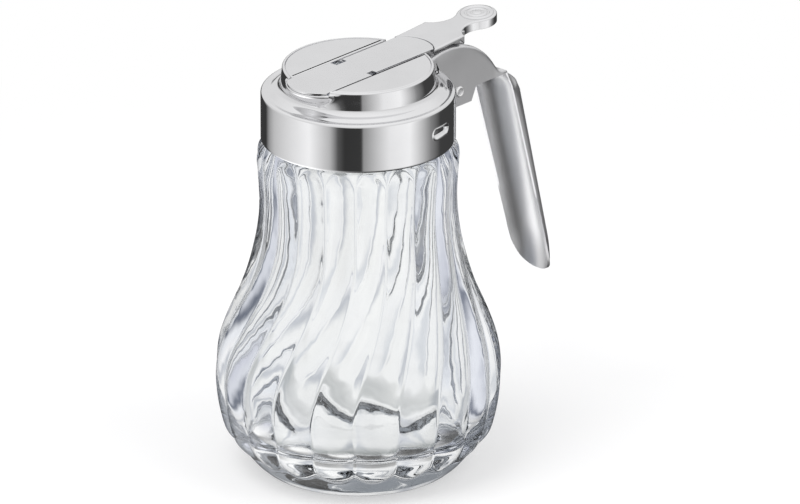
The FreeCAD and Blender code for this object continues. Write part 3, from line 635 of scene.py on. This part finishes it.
def cap_angles():
    """Plan angles of the cap's columns, closer at the lugs, the spout and the channel's corners."""
    angles = {2.0 * k for k in range(180)}
    for lug in LUG_ANGLES:
        angles.update(round(lug % 360 + 0.35 * k, 3) for k in range(-32, 33))
    angles.update(180.0 + k for k in range(-45, 46))
    for corner in (0, 180):
        for side in (-1, 1):
            step = side * math.degrees(math.asin(CHANNEL_HALF / CORNER_RADIUS))
            angles.update(round((corner + step + fine) % 360, 3) for fine in (-0.15, 0.15))
    kept = []
    for angle in sorted(a % 360 for a in angles):
        if not kept or angle - kept[-1] > 0.12:
            kept.append(angle)
    return kept


def in_channel(angle):
    return abs(math.sin(math.radians(angle))) * CORNER_RADIUS < CHANNEL_HALF


def lug_press(angle, level):
    """How far a pressed oval moves the band's surface."""
    shift = 0.0
    for lug in LUG_ANGLES:
        along = math.radians(turn_between(angle, lug)) * BAND_RADIUS
        reach = math.hypot(max(along - LUG_STRAIGHT, 0.0), level - LUG_LEVEL) / LUG_HALF_HEIGHT
        if reach < 1:
            shift -= LUG_DEPTH * (1 - reach ** 2) ** 0.8
        shift += LUG_RIM * math.exp(-((reach - LUG_RIM_PLACE) / LUG_RIM) ** 2)
    return shift


def pedestal_radius(angle, level):
    """The wall under the disc, with the spout swelling out of it."""
    wall = PEDESTAL_RADIUS - PEDESTAL_TAPER * eased((level - 121.5) / 5.0)
    turn = math.radians(turn_between(angle, 180))
    if turn > math.radians(60):
        return wall
    if level <= CHANNEL_LEVEL:
        width = SPOUT_RADIUS * math.sqrt(max(1 - ((CHANNEL_LEVEL - level) / SPOUT_DEPTH) ** 2, 0))
    else:
        width = SPOUT_RADIUS * math.sqrt(max(1 - ((level - CHANNEL_LEVEL) / SPOUT_LIP) ** 2, 0))
    spare = width ** 2 - (SPOUT_CENTRE * math.sin(turn)) ** 2
    spout = SPOUT_CENTRE * math.cos(turn) + math.copysign(math.sqrt(abs(spare)), spare)
    return (wall + spout + math.hypot(wall - spout, SPOUT_BLEND)) / 2


def make_cap():
    angles = cap_angles()

    def ring(radius_at, level_at):
        around = []
        for angle in angles:
            level = level_at(angle)
            radius = radius_at(angle, level)
            turn = math.radians(angle)
            around.append((radius * math.cos(turn), radius * math.sin(turn), level))
        return around

    def plain(radius, level):
        return ring(lambda angle, height: radius, lambda angle: level)

    rings = [plain(28.3, 104.1), plain(28.75, 104.1), plain(28.93, 104.2), plain(29.0, 104.45)]
    level = 105.0
    while level < 118.2:
        rings.append(ring(lambda angle, height: BAND_RADIUS + lug_press(angle, height),
                          lambda angle: level))
        level += 0.2 if 109.2 < level < 114.6 else 0.7
    for turn in range(0, 91, 15):
        rise = math.radians(turn)
        rings.append(plain(BAND_RADIUS - RIM_ROUNDING * (1 - math.cos(rise)),
                           RIM_LEVEL + RIM_ROUNDING * math.sin(rise)))
    for radius, height in LEDGE:
        rings.append(plain(radius, height))

    def top(angle):
        return CHANNEL_LEVEL if in_channel(angle) else DISC_LEVEL

    def wall_ring(share, thinner=0.0):
        def height(angle):
            return WALL_BOTTOM + share * (top(angle) - DISC_ROUNDING - WALL_BOTTOM)

        return ring(lambda angle, at: pedestal_radius(angle, at) - thinner, height)

    def edge_ring(inset, level_at):
        return ring(lambda angle, at: pedestal_radius(angle, top(angle) - DISC_ROUNDING) - inset, level_at)

    rings.extend(wall_ring(k / WALL_STEPS) for k in range(WALL_STEPS + 1))
    for turn in (18, 36, 54, 72, 90):
        rise = math.radians(turn)
        rings.append(edge_ring(DISC_ROUNDING * (1 - math.cos(rise)),
                               lambda angle: top(angle) - DISC_ROUNDING + DISC_ROUNDING * math.sin(rise)))
    rings.append(edge_ring(0.85, top))
    rings.append(edge_ring(0.86, lambda angle: top(angle) - 0.3))
    rings.extend(wall_ring(k / WALL_STEPS, SHEET) for k in range(WALL_STEPS, -1, -2))
    for radius, height in ((23.0, 120.2), (24.2, 119.2), (27.6, 118.4), (28.1, 117.8), (28.2, 117.0),
                           (28.2, 104.4)):
        rings.append(plain(radius, height))
    shell = wrapped_grid(rings, closed=True)

    # The disc's two halves beside the channel, and the channel's floor behind the pour hole.
    corner = math.degrees(math.asin(CHANNEL_HALF / DISC_EDGE))
    half = arc_points(0, 0, DISC_EDGE - 0.05, corner, 180 - corner, 60)
    steps = soft_edge(0.7) + [(0.0, 1.2)]
    far_half = stacked(half, steps, lambda x: DISC_LEVEL - 0.01)
    near_half = stacked([(x, -y) for x, y in reversed(half)], steps, lambda x: DISC_LEVEL - 0.01)
    side = CHANNEL_HALF + 0.2
    floor_outline = [(HOLE_BACK, -side)]
    floor_outline += notch_cut(0, -side)
    reach = math.degrees(math.asin(side / 21.85))
    floor_outline += arc_points(0, 0, DISC_EDGE - 0.05, -reach, reach, 12)
    floor_outline += notch_cut(1, side)[::-1]
    floor_outline.append((HOLE_BACK, side))
    pit_outline = [(-5.0, -side), (2.0, -side), (2.0, side), (-5.0, side)]
    pit_floor = stacked(pit_outline, [(0.1, 0.0), (0.0, 0.05), (0.0, 0.4)],
                        lambda x: CHANNEL_LEVEL - NOTCH_SINK)
    channel_floor = stacked(floor_outline, [(0.2, 0.0), (0.0, 0.05), (0.0, SHEET)], lambda x: CHANNEL_LEVEL)
    points, faces = together(shell, far_half, near_half, channel_floor, pit_floor)
    add_piece("cap_shell", points, faces, polished, "polished_steel", "root", "cap")


def notch_cut(number, side):
    """Corners of the cut in the channel's floor under one of the gate's notches."""
    start, end = NOTCHES[number]
    inner = math.copysign(NOTCH_PIT, side)
    return [(start, side), (start, inner), (end, inner), (end, side)]


# ---------------------------------------------------------------------------------------------
# Pour gate
# ---------------------------------------------------------------------------------------------

NOTCHES = ((-2.7, 0.1), (-3.9, 0.7))    # along the gate: in the near edge, in the far edge
NOTCH_DEPTH = (2.3, 2.8)
NOTCH_PIT = 5.4                         # the channel's floor is cut away outside this, at the notches
NOTCH_SINK = 1.3
GATE_HALF = 7.9
GATE_HALF_BEHIND = 7.2
GATE_TOP = 126.8
GATE_FRONT = -26.5
GATE_BACK = 28.3
GATE_END_RADIUS = 9.8


def make_gate():
    front = GATE_FRONT + GATE_END_RADIUS
    back = GATE_BACK - GATE_END_RADIUS
    front_turn = math.degrees(math.asin(GATE_HALF / GATE_END_RADIUS))
    back_turn = math.degrees(math.asin(GATE_HALF_BEHIND / GATE_END_RADIUS))
    outline = arc_points(front, 0, GATE_END_RADIUS, 180 - front_turn, 180 + front_turn, 40)
    for side, (start, end), depth in ((-1, NOTCHES[0], NOTCH_DEPTH[0]), (1, NOTCHES[1], NOTCH_DEPTH[1])):
        cut_out = [(start, side * GATE_HALF), (start, side * (GATE_HALF - depth)),
                   (end, side * (GATE_HALF - depth)), (end, side * GATE_HALF_BEHIND)]
        if side < 0:
            outline += cut_out
            outline += arc_points(back, 0, GATE_END_RADIUS, -back_turn, back_turn, 30)
        else:
            outline += cut_out[::-1]
    points, faces = stacked(outline, soft_edge(0.18) + [(0.0, 0.65), (0.1, 0.75)], lambda x: GATE_TOP)
    add_piece("gate_strip", points, faces, brushed, "polished_steel", "gate", "pour_gate")


# ---------------------------------------------------------------------------------------------
# Thumb lever and rivet
# ---------------------------------------------------------------------------------------------

LEVER_HALF = 8.0
WAIST_RADIUS = 7.1
WAIST_ALONG = 44.6
WAIST_ASIDE = 10.7
PAD_ALONG = 52.3
PAD_RADIUS = 6.0
PAD_RISE = 1.5
LEVER_PLATE = 1.0
LEVER_RIM = 2.9
LEVER_GAP = 0.3
LEVER_FRONT_STEPS = 28
PIVOT = (37.0, 109.3)
HUB_RADIUS = 2.6
SKIRT_INSIDE = 4.6
SKIRT_BACK = 41.0               # the skirts' upper corners along X
SKIRT_FRONT = 31.3
SKIRT_SINK = 0.5                # how far they start below the lever's top
RIVET_HOLE = 1.25
# The pad's raised disc with its rings, as (radius, height).
PAD_RINGS = [
    (0.02, -0.4), (0.02, 0.30), (0.6, 0.31), (1.1, 0.26), (1.38, 0.08), (1.52, -0.14), (1.72, -0.16),
    (1.92, -0.06), (2.15, 0.22), (2.45, 0.36), (2.8, 0.36), (3.08, 0.22), (3.25, -0.08), (3.42, -0.16),
    (3.6, -0.08), (3.8, 0.22), (4.1, 0.40), (4.6, 0.42), (4.9, 0.32), (5.08, 0.08), (5.14, -0.4),
]


def lever_top(x):
    """Height of the lever's top, which rises towards the pad."""
    return DISC_LEVEL + PAD_RISE * (x - GATE_BACK) / (PAD_ALONG - GATE_BACK)


def lever_outline():
    corner = WAIST_ALONG - math.sqrt(WAIST_RADIUS ** 2 - (WAIST_ASIDE - LEVER_HALF) ** 2)
    start = math.degrees(math.atan2(LEVER_HALF - WAIST_ASIDE, corner - WAIST_ALONG)) % 360
    end = math.degrees(math.atan2(-WAIST_ASIDE, PAD_ALONG - WAIST_ALONG)) % 360
    far_side = arc_points(WAIST_ALONG, WAIST_ASIDE, WAIST_RADIUS, start, end, 24)
    pad_turn = math.degrees(math.atan2(WAIST_ASIDE, WAIST_ALONG - PAD_ALONG))
    pad = arc_points(PAD_ALONG, 0, PAD_RADIUS, -pad_turn, pad_turn, 48)
    hollow = GATE_END_RADIUS + LEVER_GAP
    turn = math.degrees(math.asin(LEVER_HALF / hollow))
    front = arc_points(GATE_BACK - GATE_END_RADIUS, 0, hollow, turn, -turn, LEVER_FRONT_STEPS)
    straight = [(front[-1][0] + (corner - front[-1][0]) * k / 8, -LEVER_HALF) for k in range(1, 8)]
    near_side = [(x, -y) for x, y in far_side]
    return front + straight + near_side + pad[1:-1] + far_side[::-1] + [(x, -y) for x, y in straight[::-1]]


def steps_between(first, last, count):
    """Points on the straight line from first to last, without the first."""
    return [tuple(a + (b - a) * k / count for a, b in zip(first, last)) for k in range(1, count + 1)]


def lever_skirt(side):
    """One skirt, a plate with the rivet's hole, and its hub round that."""
    pivot_x, pivot_z = PIVOT
    hub = arc_points(pivot_x, pivot_z, HUB_RADIUS, -180, 0, 24)
    top_back = (SKIRT_BACK, lever_top(SKIRT_BACK) - SKIRT_SINK)
    top_front = (SKIRT_FRONT, lever_top(SKIRT_FRONT) - SKIRT_SINK)
    outer = list(hub)
    outer += steps_between(hub[-1], top_back, 6)
    outer += steps_between(top_back, top_front, 6)
    outer += steps_between(top_front, hub[0], 6)[:-1]
    hole = []
    for x, z in outer:
        turn = math.atan2(z - pivot_z, x - pivot_x)
        hole.append((pivot_x + RIVET_HOLE * math.cos(turn), pivot_z + RIVET_HOLE * math.sin(turn)))
    inside, outside = side * SKIRT_INSIDE, side * (SKIRT_INSIDE + SHEET)
    rings = [[(x, inside, z) for x, z in hole], [(x, inside, z) for x, z in outer],
             [(x, outside, z) for x, z in outer], [(x, outside, z) for x, z in hole]]
    return wrapped_grid(rings, closed=True)


def make_lever():
    def rim_depth(x):
        return LEVER_PLATE + (LEVER_RIM - LEVER_PLATE) * eased((x - 36.6) / 1.8)

    steps = soft_edge(0.55)
    steps += [(0.0, lambda x: rim_depth(x) - 0.12), (0.12, rim_depth), (0.65, rim_depth),
              (0.8, lambda x: rim_depth(x) - 0.12), (0.8, LEVER_PLATE - 0.14)]
    plate = stacked(lever_outline(), steps, lever_top, LEVER_FRONT_STEPS + 1)
    slope = math.atan2(PAD_RISE, PAD_ALONG - GATE_BACK)

    def on_pad(radius, angle, height):
        along = radius * math.cos(angle)
        return (PAD_ALONG + along * math.cos(slope) - height * math.sin(slope), radius * math.sin(angle),
                DISC_LEVEL + PAD_RISE + along * math.sin(slope) + height * math.cos(slope))

    medallion = turned_profile(PAD_RINGS, 72, on_pad)
    points, faces = together(plate, medallion, lever_skirt(-1), lever_skirt(1))
    add_piece("lever_plate", points, faces, brushed, "polished_steel", "lever", "thumb_lever")


def make_rivet():
    pivot_x, pivot_z = PIVOT
    head = [(0.95, 7.05), (0.98, 7.25), (1.1, 7.42), (1.3, 7.5), (1.52, 7.42), (1.66, 7.22), (1.7, 6.98),
            (1.2, 6.96)]
    profile = head + [(radius, -height) for radius, height in reversed(head)]
    points, faces = turned_profile(
        profile, 48, lambda radius, angle, height: (pivot_x + radius * math.cos(angle), height,
                                                    pivot_z + radius * math.sin(angle)))
    # The ring's pale steel is a painted highlight on the rivet's rim.
    add_piece("rivet_ring", points, faces, bright, "polished_steel", "root", "rivet", crease=60.0)


# ---------------------------------------------------------------------------------------------
# Handle: one bent channel, from the bracket over the shoulder to the grip's rounded end
# ---------------------------------------------------------------------------------------------

CHEEK_HALF = 7.0
CHEEK_BEND = 1.2
BACK_RADIUS = 25.0
BACK_CENTRE = (32.0, 99.7)
FREE_EDGE = 109.2
# The bracket in degrees round its back: where sections lie, and where the cheeks' lower edge is.
BACK_TURNS = (-27, -21, -15, *range(-9, 40, 3), 42.8, 46, 49, 52, 54.5, 57)
CHEEK_EDGE = [
    (-27, (21.5, 119.3)), (-15, (27.9, 119.3)), (-9, (27.9, 104.8)), (24, (42.3, 104.8)),
    (33, (44.4, 109.2)), (57, (52.4, 109.2)),
]
SHOULDER_LEVEL = 110.9
VALLEY = (54.36, 110.9)         # pulls the bracket's back into the shoulder
GRIP_TOP = (56.5, 110.9)        # the grip's axis at the shoulder's level
GRIP_TILT = math.radians(13.9)
GRIP_STRAIGHT = 63.0            # the lips run straight for this long
GRIP_TONGUE = 14.0
GRIP_CURL = 2.4                 # the end leans in by this much
GRIP_RADIUS = 8.45
SHOULDER_POWER = 9.0            # how sharply the shoulder's three limits meet
SHOULDER_BREAK = (56.4, 110.9)  # where the shoulder's top starts to fall
SHOULDER_SLOPE = (0.52, 0.85)   # square to that falling top
SLOT = (29.0, 49.0)
ARM, BEND, TOP = 8, 5, 10       # steps across one section
TONGUE_ROWS = 14


def lip_angle(along):
    """How far round the gutter reaches to either side; it gets shallower towards the end."""
    return math.radians(83.0 - 15.0 * min(max((along - 6) / 55, 0), 1))


def gutter_size(along):
    """Half width and depth of the gutter at a place along it."""
    return GRIP_RADIUS * math.sin(lip_angle(along)), GRIP_RADIUS * (1 - math.cos(lip_angle(along)))


def across_channel(half, depth, bend):
    """A folded channel's section as (aside, down) from one free edge to the other."""
    bend = min(bend, depth * 0.7)
    points = [(-half, depth + (bend - depth) * k / ARM) for k in range(ARM)]
    for k in range(BEND):
        turn = math.radians(90 * k / BEND)
        points.append((-half + bend * (1 - math.cos(turn)), bend * (1 - math.sin(turn))))
    points += [((half - bend) * (2 * k / TOP - 1), 0.0) for k in range(TOP // 2 + 1)]
    return points + [(-y, down) for y, down in reversed(points[:-1])]


def across_gutter(half, depth):
    """A round gutter's section, with the same number of points."""
    count = 2 * (ARM + BEND) + TOP
    widest = 2 * math.atan2(depth, half)
    turns = [widest * (2 * k / count - 1) for k in range(count + 1)]
    return [(half * math.sin(turn) / math.sin(widest), depth * (1 - math.cos(turn)) / (1 - math.cos(widest)))
            for turn in turns]


def handle_stations():
    """Along the handle: (point on the back, point at the free edge, half width, roundness)."""
    stations = []
    edge = line_through(CHEEK_EDGE)
    for turn in BACK_TURNS:
        rise = math.radians(turn)
        back = (BACK_CENTRE[0] + BACK_RADIUS * math.sin(rise), BACK_CENTRE[1] + BACK_RADIUS * math.cos(rise))
        stations.append((back, edge(turn), CHEEK_HALF, 0.0))
    start = stations[-1][0]
    for share in (0.2, 0.4, 0.6, 0.8, 1.0):
        back = tuple((1 - share) ** 2 * a + 2 * share * (1 - share) * v + share ** 2 * b
                     for a, v, b in zip(start, VALLEY, (56.2, SHOULDER_LEVEL)))
        stations.append((back, (52.4 + 3.8 * share, FREE_EDGE), CHEEK_HALF + 0.2 * share, 0.0))
    _, outwards = grip_directions()
    first = (SHOULDER_LEVEL - FREE_EDGE) / math.cos(GRIP_TILT)
    count = 18
    turning = 6.5
    slope = Vector(SHOULDER_SLOPE).normalized()
    for k in range(count + 1):
        share = k / count
        along = first + turning * share
        half, depth = gutter_size(along)
        lip = lip_place(along)
        lean = (math.pi / 2 - GRIP_TILT) * share
        ray = Vector((math.sin(lean), math.cos(lean)))
        bounds = [(SHOULDER_LEVEL - lip.y) / ray.y, depth / max(ray.dot(outwards), 0.05),
                  (Vector(SHOULDER_BREAK) - lip).dot(slope) / ray.dot(slope)]
        reach = sum(bound ** -SHOULDER_POWER for bound in bounds) ** (-1 / SHOULDER_POWER)
        half = CHEEK_HALF + 0.2 + (half - CHEEK_HALF - 0.2) * eased(share * 1.2)
        stations.append((tuple(lip + ray * reach), tuple(lip), half, eased(share * 1.25)))
    along = first + turning
    while along < GRIP_STRAIGHT - 16:
        along += 3.0
        half, depth = gutter_size(along)
        lip = lip_place(along)
        stations.append((tuple(lip + outwards * depth), tuple(lip), half, 1.0))
    return stations, along


def grip_directions():
    """Along the grip and square to it, away from the jar."""
    return (Vector((math.sin(GRIP_TILT), -math.cos(GRIP_TILT))),
            Vector((math.cos(GRIP_TILT), math.sin(GRIP_TILT))))


def lip_place(along):
    down, outwards = grip_directions()
    return Vector(GRIP_TOP) + down * along + outwards * GRIP_RADIUS * math.cos(lip_angle(along))


def line_through(knots):
    """A function that gives points on straight lines between (place, point) knots."""
    def at(place):
        for (low, first), (high, second) in zip(knots, knots[1:]):
            if place <= high:
                share = (place - low) / (high - low)
                return tuple(a + (b - a) * share for a, b in zip(first, second))
        return knots[-1][1]

    return at


def make_handle():
    stations, straight_end = handle_stations()

    def face(thinner):
        rows = []
        for back, edge, half, roundness in stations:
            span = Vector(edge) - Vector(back)
            down = span.normalized()
            depth = span.length - thinner
            channel = across_channel(half - thinner, depth, max(CHEEK_BEND - thinner, 0.3))
            gutter = across_gutter(half - thinner, depth)
            start = Vector(back) + down * thinner
            row = []
            for (y, low), (round_y, round_low) in zip(channel, gutter):
                aside = y + (round_y - y) * roundness
                place = start + down * (low + (round_low - low) * roundness)
                row.append((place.x, aside, place.y))
            rows.append(row)
        # The rounded end: every line along the grip runs on to its own end.
        down, outwards = grip_directions()
        count = 2 * (ARM + BEND) + TOP
        for k in range(1, TONGUE_ROWS + 1):
            row = []
            for column in range(count + 1):
                share = 2 * column / count - 1
                end = GRIP_STRAIGHT + GRIP_TONGUE * math.sqrt(max(1 - share ** 2, 0))
                along = straight_end + (end - straight_end) * k / TONGUE_ROWS
                turn = lip_angle(along) * share
                radius = GRIP_RADIUS - thinner
                curl = GRIP_CURL * max((along - GRIP_STRAIGHT) / GRIP_TONGUE, 0) ** 2
                place = Vector(GRIP_TOP) + down * along + outwards * (radius * math.cos(turn) - curl)
                row.append((place.x, math.sin(turn) * radius, place.y))
            rows.append(row)
        return rows

    backs = [back for back, _, _, _ in stations]

    def in_slot(row, column):
        if row + 1 >= len(backs) or not ARM + BEND <= column < ARM + BEND + TOP:
            return False
        return SLOT[0] - 0.8 <= backs[row][0] and backs[row + 1][0] <= SLOT[1] + 0.4

    points, faces = closed_sheet(face(0.0), face(SHEET), in_slot)
    handle = add_piece("handle_sheet", points, faces, satin, "satin_steel", "root", "handle")
    lit_by_card = bpy.data.collections.new("lit_by_card")
    lit_by_card.objects.link(handle)
    grip_card.light_linking.receiver_collection = lit_by_card


make_jar()
make_cap()
make_gate()
make_lever()
make_rivet()
make_handle()
